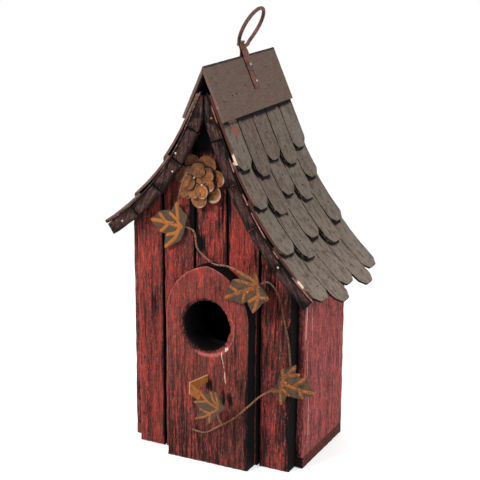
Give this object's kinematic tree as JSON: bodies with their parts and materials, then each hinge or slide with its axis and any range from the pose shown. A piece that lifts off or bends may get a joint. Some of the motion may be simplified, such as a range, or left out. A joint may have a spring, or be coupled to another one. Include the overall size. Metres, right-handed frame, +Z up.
{
  "type": "birdhouse",
  "caption": "Rustic board-built birdhouse with a flared shingle roof, an arched entrance plaque, a wire hanger, tin flower and ivy trim and a swivelling clean-out cover.",
  "frame": {"origin": "underside of the floor board, centred on the box of the house in width and depth", "axes": "+Z up; the front with the entrance hole faces -Y; +X to the right seen from the front"},
  "size_m": [0.1797, 0.1278, 0.3119],
  "materials": {
    "slat_red": "distressed red paint over bare wood",
    "side_red": "worn pinkish red paint",
    "panel_dark": "dark stained wood",
    "deck_wood": "dark brown bent sheet wood",
    "shingle_grey": "weathered grey-brown shingle",
    "cap_brown": "weathered brown board with worn pink edges",
    "barge_brown": "dark brown-red paint worn through",
    "tin_rust": "rusted tin plate",
    "leaf_tin": "pressed tin plate with rusty veins",
    "vine_wire": "rusty twisted wire",
    "hanger_steel": "rusty brown strap and wire",
    "nail_steel": "dull steel nail"
  },
  "bodies": {
    "house": {"floor_board": "side_red", "left_side_wall": "side_red", "right_side_wall": "side_red", "back_wall": "slat_red", "front_panel": "panel_dark", "front_slat_1": "slat_red", "front_slat_2": "slat_red", "front_slat_3": "slat_red", "front_slat_4": "slat_red", "front_slat_5": "slat_red", "entrance_plaque": "slat_red", "roof_deck_left": "deck_wood", "roof_deck_right": "deck_wood", "ridge_cap_left": "cap_brown", "ridge_cap_right": "cap_brown", "shingle_course_left_1": "shingle_grey", "shingle_course_left_2": "shingle_grey", "shingle_course_left_3": "shingle_grey", "shingle_course_right_1": "shingle_grey", "shingle_course_right_2": "shingle_grey", "shingle_course_right_3": "shingle_grey", "shingle_course_right_4": "shingle_grey", "bargeboard_left_1": "barge_brown", "bargeboard_left_2": "barge_brown", "bargeboard_left_3": "barge_brown", "bargeboard_left_4": "barge_brown", "bargeboard_left_5": "barge_brown", "bargeboard_right_1": "barge_brown", "bargeboard_right_2": "barge_brown", "bargeboard_right_3": "barge_brown", "bargeboard_right_4": "barge_brown", "bargeboard_right_5": "barge_brown", "hanger": "hanger_steel", "hanger_nails": "nail_steel", "flower_outer_petals": "tin_rust", "flower_inner_petals": "tin_rust", "flower_nails": "nail_steel", "ivy_leaf_1": "leaf_tin", "ivy_leaf_2": "leaf_tin", "ivy_leaf_3": "leaf_tin", "leaf_nails": "nail_steel", "perch_leaf": "leaf_tin", "flower_stem_wire": "vine_wire", "vine_wire_upper": "vine_wire", "vine_wire_side": "vine_wire", "vine_wire_lower": "vine_wire", "perch_stem_wire": "vine_wire", "cleanout_screw": "nail_steel"},
    "cleanout_cover": {"cleanout_cover": "slat_red"}
  },
  "joints": [
    {"name": "cleanout_cover_swivel", "type": "hinge", "parent": "house", "child": "cleanout_cover", "pos_m": [0, 0.0374, 0.076], "axis": [0, 1, 0], "continuous": true}
  ]
}
